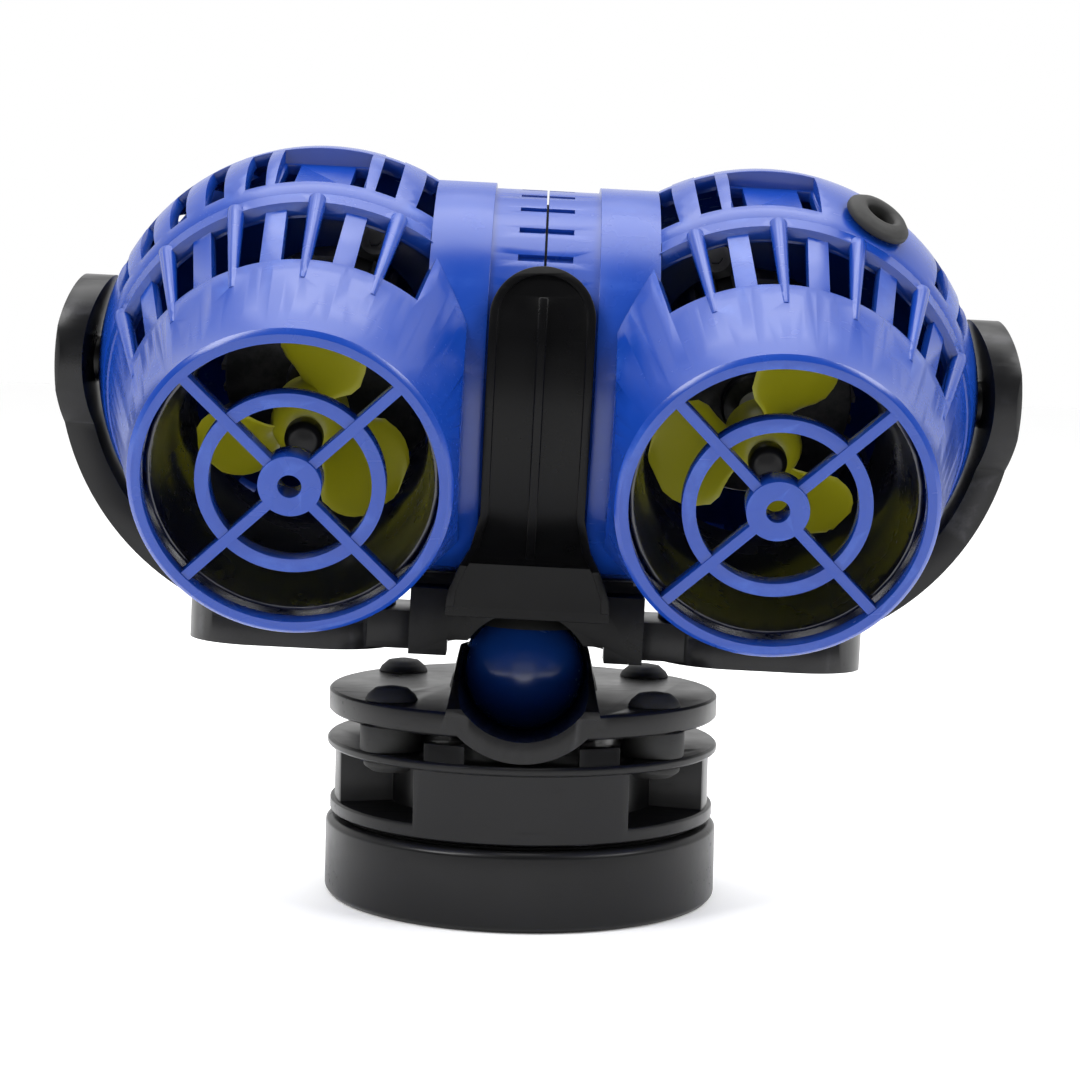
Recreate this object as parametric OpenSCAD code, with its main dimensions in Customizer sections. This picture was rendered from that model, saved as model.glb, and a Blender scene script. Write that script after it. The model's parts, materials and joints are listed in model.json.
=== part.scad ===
// Twin-head aquarium circulation pump on a two-part magnet mount.
// Millimetres, +Z up. The origin is the centre of the dry disc's outer face.
// Nozzles face -Y. The barrel lies along X.

/* [Magnet mount] */
// Diameter of the dry disc
disc_d = 70; // [60:1:90]
// Height of the dry disc's cup
dry_h = 13.8; // [12:0.1:20]
// Wall of the dry cup
cup_wall = 3; // [2:0.1:4]
// Thickness of each rubber pad
pad_t = 1; // [0.6:0.1:1.6]
// Gap between the two pads when the halves rest on each other
pad_gap = 0.4; // [0.3:0.1:1]
// Height of the wet half, from its rim to its upper plate
wet_h = 13.3; // [12.5:0.1:20]
// Thickness of the wet half's rim
flange_t = 2.4; // [2.2:0.1:3.5]
// Thickness of the wet half's upper plate
mid_t = 1.6; // [1.2:0.1:3]
// Half width of the wet half's front block
front_block_x = 18.1; // [14:0.1:21]
// Height between the damped plates
damper_gap = 4.5; // [4:0.1:8]
// Thickness of the top plate
plate_t = 4.1; // [3:0.1:6]
// Radius of the damper between the plates
damper_r = 5.3; // [4:0.1:6]
// Damper places, X and Y
damper_x = 22.6; // [20:0.1:26]
// Damper places along Y
damper_y = 19; // [15:0.1:20]

/* [Ball joint] */
// Diameter of the ball
ball_d = 22; // [18:0.5:26]
// Height of the ball's centre over the top plate
ball_rise = 3.3; // [2.5:0.1:5]
// Gap between turning spherical faces
ball_gap = 0.3; // [0.3:0.05:0.5]
// Side lean of the yoke at rest, in degrees
rest_lean = 1.6; // [0:0.1:3]

/* [Yoke] */
// Height of the barrel axis over the ball's centre
axis_h = 51.6; // [50:0.1:60]
// Half width of the centre block
block_x = 20.3; // [18:0.1:22]
// Half depth of the centre block
block_y = 14.6; // [14.5:0.1:18]
// Underside of the centre block over the ball's centre
block_z = 3.6; // [3.4:0.1:4.5]
// Radius of the rounded pads under the domes
lobe_r = 12.5; // [10:0.1:14]
// Top of the rounded pads over the ball's centre
lobe_top = 8; // [7:0.1:9]
// Underside of the rounded pads over the ball's centre
lobe_z = 3.35; // [3:0.05:4]
// Thickness of the side arms
arm_t = 4.9; // [3.5:0.1:6]
// Half width of the side arms
arm_y = 10; // [8:0.1:12]
// Radius of the arm's round end
arm_end_r = 15; // [12:0.1:17]
// Radius of the pivot pins
pin_r = 4; // [3:0.1:5]

/* [Barrel] */
// Radius of the barrel's collars
barrel_r = 34.6; // [33:0.1:36]
// Wall of the barrel
barrel_wall = 3.3; // [2.5:0.1:4]
// Depth of the clip channel
channel_depth = 0.9; // [0.5:0.1:1.5]
// Half width of the clip channel
channel_x = 9.1; // [8:0.1:11]
// Thickness of the barrel clips
clip_t = 2.2; // [1.6:0.1:3]
// Number of index notches round the barrel
notch_count = 32; // [24:1:36]

/* [Heads] */
// Radius of each dome
dome_r = 39.5; // [38.5:0.1:42]
// Distance of each dome from the middle of the barrel
head_x = 38.2; // [37.5:0.1:44]
// Pitch of the nozzles under the horizontal, in degrees
nozzle_pitch = 18.5; // [10:0.5:20]
// Distance from the dome's centre to the nozzle's rim
nozzle_len = 56; // [50:1:64]
// Outer radius of the nozzle's rim
rim_r = 25.6; // [24:0.1:27]
// Wall of the nozzle's rim
rim_wall = 2.2; // [1.8:0.1:3]
// Wall of the cages
cage_wall = 2; // [1.6:0.1:2.4]
// Plane where the rear and front cages meet
seam_d = 15.6; // [14:0.1:17]
// Width of the windows along the axis
window_len = 17; // [12:0.5:19]
// Angle between neighbouring rods
rod_pitch = 22.5; // [22.5]
// Radius of the rods
rod_r = 1.3; // [1:0.1:1.6]
// Width of the flat bars
bar_w = 3.5; // [2.5:0.1:4]
// Width of the slots in the rear cage
slot_w = 3.6; // [3:0.1:4.4]
// Radius of the nozzle's inner ring
grille_ring_r = 15; // [12:0.1:17]
// Radius of the nozzle's hub
grille_hub_r = 5; // [4:0.1:6]

/* [Drive] */
// Radius over the propeller's blades
prop_r = 19.6; // [16:0.1:19.8]
// Radius of the propeller's hub
prop_hub_r = 6.5; // [5:0.1:8]
// Gap between the blades and the duct
prop_gap = 0.8; // [0.5:0.1:1.5]
// Radius of the motor can
motor_r = 17; // [14:0.5:18]
// Radius of the shaft
shaft_r = 1.5; // [1.2:0.1:2]
// Radius of the rotor magnet
rotor_r = 7; // [5:0.1:9]

/* [Cable gland] */
// Bore radius for the cable
gland_bore_r = 2.6; // [2:0.1:3.2]
// Radius of the gland's flange
gland_r = 5.9; // [5:0.1:7]

/* [Fits] */
// Radial clearance of turning pins and shafts
run_gap = 0.06; // [0.03:0.01:0.1]
// Clearance between pieces that seat in each other
seat_gap = 0.1; // [0.05:0.01:0.2]
// Clearance between pieces that pass each other
pass_gap = 0.4; // [0.3:0.05:0.6]

/* [Hidden] */
$fn = 72;
eps = 0.01;
big = 200;

disc_r = disc_d / 2;
pad_r = disc_r - cup_wall;
magnet_r = pad_r - 6;
lid_t = 2;
dry_pad_top = dry_h + 0.2;
dry_pad_z = dry_pad_top - pad_t;
dry_lid_z = dry_pad_z - lid_t;

wet_pad_z = dry_pad_top + pad_gap;
wet_z = wet_pad_z + 0.3;
wet_pad_top = wet_pad_z + pad_t;
wet_cover_t = 0.8;
wet_cover_r = pad_r - 4;
wet_r = disc_r - 0.7;
flange_top = wet_z + flange_t;
mid_top = wet_z + wet_h;
mid_z = mid_top - mid_t;
mid_r = disc_r - 0.1;
plate_r = disc_r - 0.3;
can_r = 24;
wet_magnet_r = 22;
wet_magnet_z = wet_pad_top + wet_cover_t + seat_gap;
wet_magnet_top = mid_z - 1.6;
side_post_half = 19;
stop_x0 = 9.6;
stop_x1 = 16.4;
stop_y0 = 27;
stop_gap = 1.5;

plate_z = mid_top + damper_gap;
plate_top = plate_z + plate_t;
damper_neck_r = 2.4;
damper_head_r = 4.6;
damper_head_h = 2.4;

ball_r = ball_d / 2;
ball_z = plate_top + ball_rise;
socket_r = ball_r + ball_gap;
socket_top = ball_z + 4.1;
pedestal_r0 = ball_r + 2.4;
pedestal_r1 = ball_r + 0.5;
trough_z = mid_top + 0.35;
tunnel_rise = 4.9;
tunnel_r0 = ball_r - 0.2;
tunnel_r1 = ball_r + 1.6;
lip_r1 = ball_r + 5.4;
liner_t = 1;
liner_r0 = ball_r + ball_gap;
liner_r1 = liner_r0 + liner_t;
seat_r = liner_r1 + ball_gap;
seat_floor_r = seat_r + 1.7;
stud_r = 3;
stud_hole_r = 6;
stud_head_r0 = seat_floor_r + ball_gap;
stud_head_r1 = min(stud_head_r0 + 1.4, axis_h - barrel_r + channel_depth - pass_gap);
stud_head_w = 8.3;
arch_r = ball_r + 0.9;
relief_top = 7;
foot_x = pedestal_r1 + 2.2;
foot_r = foot_x + 1.6;
foot_top = relief_top - 0.6;
dome_cut_r = sqrt(pow(dome_r, 2) - pow(head_x - block_x, 2)) + pass_gap;

channel_r = barrel_r - channel_depth;
barrel_in = barrel_r - barrel_wall;
cradle_r = barrel_r + pass_gap;
clip_in = channel_r + pass_gap;
clip_out = clip_in + clip_t;
clip_x = channel_x - pass_gap;
split_gap = 0.4;
sleeve_half = 12;

// The barrel ends where the dome's sphere has the barrel's radius.
join_in = sqrt(dome_r * dome_r - barrel_r * barrel_r);
join_x = head_x - join_in;
dome_in = dome_r - cage_wall;
arm_in = dome_r + 0.8;
arm_out = arm_in + arm_t;
pin_seat = 1.6;
lobe_x1 = head_x + 9.3;
lobe_x0 = head_x - 2.2;

cone_d = seam_d + 2.4;
cone_r = sqrt(dome_r * dome_r - cone_d * cone_d);
window_d = cone_d + window_len;
inner_flat = head_x - rim_r - 0.3;
notch_x = inner_flat - 0.5;
notch_y = 6.5;
notch_z = 15.2;
seam_r = sqrt(dome_r * dome_r - seam_d * seam_d);
hoop_in = seam_r - 3.8;
lip_out = hoop_in + 0.8;
rim_d = nozzle_len - 2.6;
slot_d1 = seam_d - 3.2;

duct_r = prop_r + prop_gap;
duct_wall = 1.6;
duct_front = 37;
duct_end = nozzle_len - 4;
duct_lip_r = rim_r - rim_wall - 0.3;
duct_back = 16;
motor_front = 6;
motor_back = -22;
plate_d = 2;
duct_foot_r = duct_r + duct_wall;
boss_r = 3.4;
boss_at = 21.5;
boss_d = -19;
boss_turns = [0, 110, 250];
boss_foot = sqrt(pow(dome_r - 0.4, 2) - pow(boss_at + boss_r, 2));
rotor_back = -18;
rotor_front = 3;
shaft_back = -20;
shaft_front = 34;
prop_back = 20;
prop_front = 33;
bush_len = 4;

// Radius of the nozzle's outer face at a distance along its axis.
function nozzle_r(d) = rim_r + (cone_r - rim_r) * (rim_d - d) / (rim_d - cone_d);

// Yoke frame: origin at the ball's centre, X along the barrel.
module yoke_frame() {
    translate([0, 0, ball_z]) rotate([0, rest_lean, 0]) children();
}

// Barrel frame: origin in the middle of the barrel's axis.
module barrel_frame() {
    yoke_frame() translate([0, 0, axis_h]) children();
}

// Head frame: origin at the dome's centre, +Z along the nozzle,
// +Y up and +X away from the barrel. The left head is the mirror image.
module head_frame(side) {
    barrel_frame() mirror([side < 0 ? 1 : 0, 0, 0]) translate([head_x, 0, 0]) {
        rotate([90 + nozzle_pitch, 0, 0]) children();
    }
}

// A solid round an axis at a distance, cut to a span of heights.
module tube(r_out, r_in, z0, z1) {
    difference() {
        translate([0, 0, z0]) cylinder(r = r_out, h = z1 - z0);
        translate([0, 0, z0 - 1]) cylinder(r = r_in, h = z1 - z0 + 2);
    }
}

module disc(r, z0, z1, chamfer = 0) {
    rotate_extrude() polygon([
        [0, z0], [r - chamfer, z0], [r, z0 + chamfer],
        [r, z1 - chamfer], [r - chamfer, z1], [0, z1]
    ]);
}

// Half space with x over a limit.
module beyond_x(x) {
    translate([x, -big / 2, -big / 2]) cube([big, big, big]);
}

// ---- Magnet mount ----

module dry_cup() {
    color("#26272a") difference() {
        disc(disc_r, 0, dry_h, 0.9);
        translate([0, 0, cup_wall]) cylinder(r = magnet_r + seat_gap, h = dry_h);
        translate([0, 0, dry_lid_z]) cylinder(r = pad_r + seat_gap, h = dry_h);
    }
}

module dry_magnet() {
    color("#b9bcc0") disc(magnet_r, cup_wall, dry_lid_z - seat_gap, 0.4);
}

module dry_lid() {
    color("#2b2c2f") disc(pad_r, dry_lid_z, dry_pad_z, 0);
}

module dry_pad() {
    color("#3a3b3d") disc(pad_r, dry_pad_z, dry_pad_top, 0.3);
}

// One open bay lies between each block and post of the wet half.
module wet_base() {
    color("#26272a") difference() {
        union() {
            disc(wet_r, wet_z, flange_top, 0.3);
            disc(mid_r, mid_z, mid_top, 0.4);
            translate([0, 0, flange_top - 1]) cylinder(r = can_r, h = mid_z - flange_top + 2);
            intersection() {
                translate([0, 0, flange_top - 1]) cylinder(r = wet_r, h = mid_z - flange_top + 2);
                translate([-front_block_x, -big / 2, 0]) cube([2 * front_block_x, big, big]);
            }
            for (a = [0, 180]) rotate([0, 0, a - side_post_half]) {
                rotate_extrude(angle = 2 * side_post_half) {
                    translate([can_r - 2, flange_top - 1]) {
                        square([wet_r - can_r + 1.2, mid_z - flange_top + 2]);
                    }
                }
            }
            for (a = [0, 180], side = [-1, 1]) rotate([0, 0, a]) stop_block(side);
        }
        translate([0, 0, wet_z - 1]) cylinder(r = pad_r + seat_gap, h = wet_pad_top - wet_z + 1);
        translate([0, 0, wet_z]) cylinder(r = wet_cover_r + seat_gap, h = wet_magnet_z - wet_z);
        translate([0, 0, wet_z]) cylinder(r = wet_magnet_r + seat_gap, h = wet_magnet_top - wet_z);
        for (p = damper_places()) translate([p[0], p[1], mid_z - 1]) {
            cylinder(r = damper_neck_r + seat_gap, h = mid_t + 2);
        }
    }
}

// A block that stops the top plate when a damper is squeezed.
module stop_block(side) {
    intersection() {
        translate([0, 0, mid_top - 0.5]) cylinder(r = wet_r, h = damper_gap + 0.5 - stop_gap);
        translate([side > 0 ? stop_x0 : -stop_x1, -big, 0]) {
            cube([stop_x1 - stop_x0, big - stop_y0, big]);
        }
    }
}

module wet_magnet() {
    color("#b9bcc0") disc(wet_magnet_r, wet_magnet_z, wet_magnet_top, 0.4);
}

module wet_cover() {
    color("#2b2c2f") disc(wet_cover_r, wet_pad_top, wet_pad_top + wet_cover_t, 0);
}

module wet_pad() {
    color("#3a3b3d") disc(pad_r, wet_pad_z, wet_pad_top, 0.3);
}

function damper_places() = [for (x = [-1, 1], y = [-1, 1]) [x * damper_x, y * damper_y]];

module dampers() {
    color("#161617") for (p = damper_places()) translate([p[0], p[1], 0]) rotate_extrude() {
        polygon([
            [0, mid_z - 2], [damper_head_r - 1.4, mid_z - 2], [damper_head_r, mid_z - 1],
            [damper_head_r, mid_z], [damper_neck_r, mid_z], [damper_neck_r, mid_top],
            [damper_r, mid_top], [damper_r, plate_z], [damper_neck_r, plate_z],
            [damper_neck_r, plate_top], [damper_head_r, plate_top],
            [damper_head_r - 0.5, plate_top + 0.4 * damper_head_h],
            [damper_head_r * 0.62, plate_top + 0.85 * damper_head_h],
            [damper_head_r * 0.2, plate_top + damper_head_h],
            [0, plate_top + damper_head_h]
        ]);
    }
}

// A cone from the ball's centre out to the plate's front edge.
module tunnel(r0, r1) {
    tunnel_l = norm([plate_r, tunnel_rise]);
    translate([0, 0, ball_z]) rotate([90 - atan2(tunnel_rise, plate_r), 0, 0]) {
        cylinder(r1 = r0, r2 = r1 + (r1 - r0) * 2 / tunnel_l, h = tunnel_l + 2);
    }
}

// The plate carries the lower socket, open to the front.
module top_plate() {
    color("#2a2b2e") difference() {
        union() {
            disc(plate_r, plate_z, plate_top, 0.4);
            translate([0, 0, trough_z]) cylinder(r = ball_r + 2.2, h = plate_z - trough_z + 1);
            intersection() {
                tunnel(ball_r + 0.6, lip_r1);
                translate([0, 0, trough_z]) cylinder(r = plate_r, h = plate_top - trough_z - 0.5);
            }
            pedestal();
        }
        translate([0, 0, ball_z]) sphere(r = socket_r);
        tunnel(tunnel_r0, tunnel_r1);
        translate([0, 0, trough_z - 1]) cylinder(r = ball_r * 0.36, h = 6);
        translate([0, 0, socket_top]) cylinder(r = plate_r, h = big);
        for (p = damper_places()) translate([p[0], p[1], plate_z - 1]) {
            cylinder(r = damper_neck_r + seat_gap, h = plate_t + 2);
        }
    }
}

module pedestal() {
    ped_h = socket_top - plate_top + 0.5;
    translate([0, 0, plate_top - 0.5]) cylinder(r1 = pedestal_r0, r2 = pedestal_r1, h = ped_h);
    intersection() {
        rotate([90, 0, 0]) linear_extrude(height = plate_r - 1) polygon([
            [-pedestal_r0 + 0.5, plate_top - 0.5], [pedestal_r0 - 0.5, plate_top - 0.5],
            [pedestal_r1, socket_top], [-pedestal_r1, socket_top]
        ]);
        rotate([90, 0, 90]) linear_extrude(height = 2 * pedestal_r0, center = true) polygon([
            [1 - plate_r, plate_top - 0.5], [1 - plate_r, plate_top + 0.8],
            [-12.6, ball_z - 0.5], [-7.2, socket_top - 0.1], [0, socket_top - 0.1], [0, plate_top - 0.5]
        ]);
    }
}

// ---- Ball joint ----

module pivot_ball() {
    color("#15327a") translate([0, 0, ball_z]) difference() {
        sphere(r = ball_r);
        translate([0, 0, ball_r - 6]) cylinder(r = stud_r + seat_gap, h = 10);
    }
}

// A stud from the ball with a domed head that rides over the seat.
module ball_stud() {
    color("#9a9da1") translate([0, 0, ball_z]) {
        translate([0, 0, ball_r - 6]) cylinder(r = stud_r, h = stud_head_r0 - ball_r + 6.5);
        intersection() {
            difference() {
                sphere(r = stud_head_r1);
                sphere(r = stud_head_r0);
            }
            cylinder(r = stud_head_w, h = big);
        }
    }
}

module ball_liner() {
    color("#3a3b3d") yoke_frame() difference() {
        sphere(r = liner_r1);
        sphere(r = liner_r0);
        translate([-big / 2, -big / 2, ball_r * 0.74 - big]) cube([big, big, big]);
        cylinder(r = stud_hole_r, h = big);
    }
}

// ---- Yoke ----

module centre_block() {
    color("#232427") yoke_frame() difference() {
        translate([-block_x, -block_y, block_z]) {
            cube([2 * block_x, 2 * block_y, axis_h - cradle_r * 0.9 - block_z]);
        }
        translate([0, 0, axis_h]) rotate([0, 90, 0]) cylinder(r = cradle_r, h = big, center = true);
        for (side = [-1, 1]) translate([side * (join_x + big / 2 - 0.6), 0, axis_h]) {
            rotate([0, 90, 0]) cylinder(r = dome_cut_r, h = big, center = true);
        }
        sphere(r = seat_r);
        translate([0, 0, block_z - 1]) cylinder(r = seat_r + 0.4, h = relief_top - block_z + 1);
        rotate([90, 0, 0]) cylinder(r = arch_r, h = big);
        translate([-foot_x, -big, block_z - 1]) cube([2 * foot_x, big, foot_top - block_z + 1]);
        translate([0, 0, block_z - 1]) cylinder(r = foot_r, h = foot_top - block_z + 1);
        cylinder(r = stud_hole_r, h = big);
        intersection() {
            difference() {
                sphere(r = axis_h - cradle_r + 4);
                sphere(r = seat_floor_r);
            }
            translate([0, 0, ball_r]) cylinder(r1 = stud_head_w + 2, r2 = stud_head_w + 3.4, h = 12);
        }
        for (side = [-1, 1]) scale([side, 1, 1]) {
            translate([block_x - tongue_l, -tongue_y - seat_gap, tongue_z]) {
                cube([tongue_l + 1, 2 * tongue_y + 2 * seat_gap, tongue_h]);
            }
            translate([notch_x, -big - notch_y, notch_z]) cube([big, big, big]);
            translate([screw_x, 0, block_z - 1]) cylinder(r = 2.8, h = 2.2);
            translate([screw_x, 0, block_z]) cylinder(r = 1.5 + seat_gap, h = 8);
        }
    }
}

tongue_l = 5.2;
neck_y = 9.5;
tongue_y = 5.5;
tongue_z = 7.2;
tongue_h = 3;
screw_x = block_x - 3;

// Rounded pad, neck, tongue and the curved arm up to the pivot.
module side_arm() {
    difference() {
        union() {
            intersection() {
                translate([0, 0, lobe_z]) linear_extrude(height = lobe_wall_h()) {
                    translate([lobe_x1, 0]) circle(r = lobe_r);
                    translate([lobe_x0, 0]) circle(r = lobe_r);
                    translate([lobe_x0, -lobe_r]) square([lobe_x1 - lobe_x0, 2 * lobe_r]);
                }
                union() {
                    translate([0, -big / 2, 0]) cube([big, big, lobe_top]);
                    translate([head_x, 0, axis_h]) rotate([90, 0, 0]) {
                        tube(arm_out + 5, arm_in, -arm_y, arm_y);
                    }
                }
            }
            translate([block_x + seat_gap, -neck_y, lobe_z + 0.5]) {
                cube([lobe_x0 - block_x, 2 * neck_y, lobe_top + 2 - lobe_z]);
            }
            translate([block_x - tongue_l + seat_gap, -tongue_y, tongue_z]) {
                cube([tongue_l + 6, 2 * tongue_y, tongue_h - 0.6]);
            }
            arm_strap();
        }
        translate([0, 0, axis_h]) rotate([0, 90, 0]) cylinder(r = cradle_r, h = head_x);
        translate([head_x, 0, axis_h]) rotate([90, 0, 0]) {
            cylinder(r = arm_in, h = big, center = true);
        }
        translate([screw_x, 0, 0]) cylinder(r = 1.5 + seat_gap, h = 20);
        translate([head_x, 0, axis_h]) rotate([0, 90, 0]) cylinder(r = pin_r + seat_gap / 2, h = big);
        translate([head_x + arm_out - pin_seat, 0, axis_h]) rotate([0, 90, 0]) {
            cylinder(r = pin_r + 3.2, h = big);
        }
    }
}

function lobe_wall_h() = axis_h - sqrt(arm_out * arm_out - pow(lobe_x1 + lobe_r - head_x, 2)) - lobe_z;

// Strap bent round the dome, from the pad to the round end at the pivot.
module arm_strap() {
    intersection() {
        translate([head_x, 0, axis_h]) rotate([90, 0, 0]) rotate([0, 0, -78]) {
            rotate_extrude(angle = 112) rounded_band(arm_in, arm_out, arm_y, arm_end_r);
        }
        translate([head_x, 0, axis_h]) rotate([0, 90, 0]) {
            linear_extrude(height = big) {
                circle(r = arm_end_r);
                translate([0, -arm_y]) square([big, 2 * arm_y]);
            }
        }
    }
}

// Cross-section of the strap: radius along X, depth along Y.
module rounded_band(r0, r1, half, reach) {
    c = 1.1;
    polygon([
        [r0, -reach], [r1 - c, -reach], [r1, -reach + c],
        [r1, reach - c], [r1 - c, reach], [r0, reach]
    ]);
}

module left_arm() {
    color("#232427") yoke_frame() mirror([1, 0, 0]) side_arm();
}

module right_arm() {
    color("#232427") yoke_frame() side_arm();
}

module arm_screws() {
    color("#8f9296") yoke_frame() for (side = [-1, 1]) translate([side * screw_x, 0, 0]) {
        translate([0, 0, block_z + 0.2]) cylinder(r = 2.6, h = 1);
        translate([0, 0, block_z + 1]) cylinder(r = 1.5, h = tongue_h + 3);
    }
}

// Front view of a clip: round top, straight sides and a flared foot.
module clip_outline(grow = 0) {
    top_z = axis_h + clip_out * sin(32) - clip_x;
    w = clip_x + grow;
    translate([0, top_z]) circle(r = w);
    polygon([
        [-w, top_z], [-w, axis_h - 22.2], [-w - 1.5, axis_h - 28.4], [-w - 3.6, axis_h - 32.4],
        [-w - 5.2, axis_h - 36.6], [-w - 5.4, block_z + 7.3], [w + 5.4, block_z + 7.3],
        [w + 5.2, axis_h - 36.6], [w + 3.6, axis_h - 32.4], [w + 1.5, axis_h - 28.4],
        [w, axis_h - 22.2], [w, top_z]
    ]);
}

// A band round the barrel's front, shaped by an outline seen from the front.
module clip_band(r0, r1) {
    intersection() {
        union() {
            difference() {
                translate([0, 0, axis_h]) rotate([0, 90, 0]) tube(r1, r0, -big / 4, big / 4);
                translate([-big / 2, -big / 2, axis_h - big - r1 * sin(62)]) cube([big, big, big]);
            }
            translate([-big / 4, -foot_y - (r1 - clip_in), block_z + 6]) {
                cube([big / 2, r1 - r0, axis_h - block_z - 6 - clip_in * sin(62)]);
            }
        }
        rotate([90, 0, 0]) linear_extrude(height = big) children();
    }
}

foot_y = clip_in * cos(62);

module barrel_clip() {
    difference() {
        union() {
            clip_band(clip_in, clip_out) clip_outline();
            clip_band(clip_out - 0.3, clip_out + 0.8) difference() {
                clip_outline();
                clip_outline(-1.4);
                translate([-big / 2, -big + block_z + 9]) square([big, big]);
            }
            clip_band(clip_out - 0.3, clip_out + 0.8) {
                translate([-0.7, axis_h - 30]) square([1.4, 44]);
            }
        }
        for (side = [-1, 1]) translate([side > 0 ? clip_x + eps : -clip_x - eps - big, 0, axis_h]) {
            rotate([0, 90, 0]) cylinder(r = cradle_r, h = big);
        }
        translate([-block_x - 1, -block_y, 0]) {
            cube([2 * block_x + 2, block_y, axis_h - cradle_r * 0.9 + seat_gap]);
        }
    }
}

module front_clip() {
    color("#232427") yoke_frame() barrel_clip();
}

module rear_clip() {
    color("#232427") yoke_frame() rotate([0, 0, 180]) barrel_clip();
}

module coupling_sleeve() {
    color("#3a3b3d") barrel_frame() rotate([0, 90, 0]) {
        tube(barrel_in, barrel_in - 2.6, split_gap / 2, sleeve_half);
        tube(barrel_in - run_gap, barrel_in - 2.6, -sleeve_half, split_gap / 2);
    }
}

module pivot_pin() {
    translate([head_x, 0, 0]) rotate([0, 90, 0]) {
        translate([0, 0, dome_r - 6]) cylinder(r = pin_r, h = arm_out - dome_r + 5);
        translate([0, 0, arm_out - pin_seat]) disc(pin_r + 3, 0, 1.4, 0.3);
    }
}

module left_pivot_pin() {
    color("#2a2b2e") barrel_frame() mirror([1, 0, 0]) pivot_pin();
}

module right_pivot_pin() {
    color("#2a2b2e") barrel_frame() pivot_pin();
}

// ---- Barrel ----

module barrel_half() {
    difference() {
        rotate([0, 90, 0]) difference() {
            union() {
                translate([0, 0, split_gap / 2]) cylinder(r = channel_r, h = join_x - split_gap / 2);
                translate([0, 0, channel_x]) cylinder(r = barrel_r, h = join_x - channel_x);
            }
            translate([0, 0, -1]) cylinder(r = barrel_in, h = join_x - 2);
            translate([0, 0, -1]) cylinder(r = motor_r - 2, h = join_x + 2);
        }
        translate([join_x - 4.2, -big + 2 - duct_back, -12.5]) cube([5, big, 25]);
        for (i = [0 : notch_count - 1]) rotate([i * 360 / notch_count, 0, 0]) {
            translate([0, channel_r - 0.8, -0.7]) cube([4.6, 2, 1.4]);
        }
    }
}

module left_barrel_half() {
    color("#2c49b4") barrel_frame() rotate([nozzle_pitch, 0, 0]) mirror([1, 0, 0]) barrel_half();
}

module right_barrel_half() {
    color("#2c49b4") barrel_frame() rotate([nozzle_pitch, 0, 0]) barrel_half();
}

// ---- Cages ----

// Angles of the slots in a rear cage, from the top and outwards.
slot_step = rod_pitch / 2;
top_slots = [for (i = [-3 : -2]) i * slot_step + slot_step / 2];
outer_slots = [for (i = [1 : 5]) i * slot_step + slot_step / 2];
low_slots = [for (i = [-7 : 2]) 180 + i * slot_step + slot_step / 2];

module rear_cage(gland) {
    near_gland = gland ? 42 : 0;
    difference() {
        union() {
            difference() {
                sphere(r = dome_r);
                sphere(r = dome_in);
                translate([-big / 2, -big / 2, seam_d]) cube([big, big, big]);
            }
            tube(seam_r - 0.2, hoop_in, seam_d - 3, seam_d);
            tube(lip_out, hoop_in, seam_d - 3, seam_d + 1.6);
            rotate([0, 90, 0]) translate([0, 0, dome_in - 5]) cylinder(r = 9, h = 5.5);
            for (a = boss_turns) rotate([0, 0, a]) translate([boss_at, 0, -boss_foot]) {
                cylinder(r = boss_r, h = boss_foot + boss_d);
            }
            recess_block();
        }
        translate([-big - join_in, -big / 2, -big / 2]) cube([big, big, big]);
        for (a = concat(top_slots, outer_slots, low_slots)) {
            if (a > 70 || a < 0 || a > near_gland) rotate([0, 0, -a]) slot_pair(a);
        }
        recess_cut();
        rotate([0, 90, 0]) cylinder(r = pin_r + run_gap, h = big);
        translate([arm_in - 1.4, -big / 2, -big / 2]) cube([big, big, big]);
        for (a = boss_turns) rotate([0, 0, a]) translate([boss_at, 0, boss_d - 8]) {
            cylinder(r = 1.25, h = 9);
        }
        if (gland) gland_axis() {
            cylinder(r = gland_r - 1.8, h = big);
            translate([0, 0, dome_in - 6]) cylinder(r = gland_r, h = 5.6);
        }
    }
}

// Two slots in line along the axis. +Y is up before the turn.
module slot_pair(a) {
    translate([-slot_w / 2, dome_in - 4, -3.5]) cube([slot_w, 12, slot_d1 + 3.5]);
    if (abs(a - 90) > 36) translate([-slot_w / 2, dome_in - 7, -18]) cube([slot_w, 12, 11.5]);
}

// Block under the recess at the top of the rear cage.
module recess_block() {
    intersection() {
        translate([-9, dome_in - 3, -5.2]) cube([18, 10, slot_d1 + 6.6]);
        sphere(r = dome_r - 0.4);
    }
}

// Shallow recess with a slot at each side.
module recess_cut() {
    translate([-7.6, dome_in - 1.2, -3.5]) cube([15.2, 12, slot_d1 + 3.5]);
    for (side = [-1, 1]) translate([side * 5.9 - 1.2, dome_in - 4, -2.8]) {
        cube([2.4, 12, slot_d1 + 2.1]);
    }
}

// Outer face of the front cage, before its windows.
module cage_face(shrink) {
    rotate_extrude() polygon([
        [0, seam_d - (shrink > 0 ? 1 : 0)], [seam_r - shrink, seam_d - (shrink > 0 ? 1 : 0)],
        [cone_r - shrink, cone_d], [rim_r - shrink, rim_d],
        [rim_r - shrink, nozzle_len + (shrink > 0 ? 1 : -0.8)],
        [rim_r - shrink - (shrink > 0 ? 0 : 0.8), nozzle_len + (shrink > 0 ? 1 : 0)],
        [0, nozzle_len + (shrink > 0 ? 1 : 0)]
    ]);
}

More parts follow.
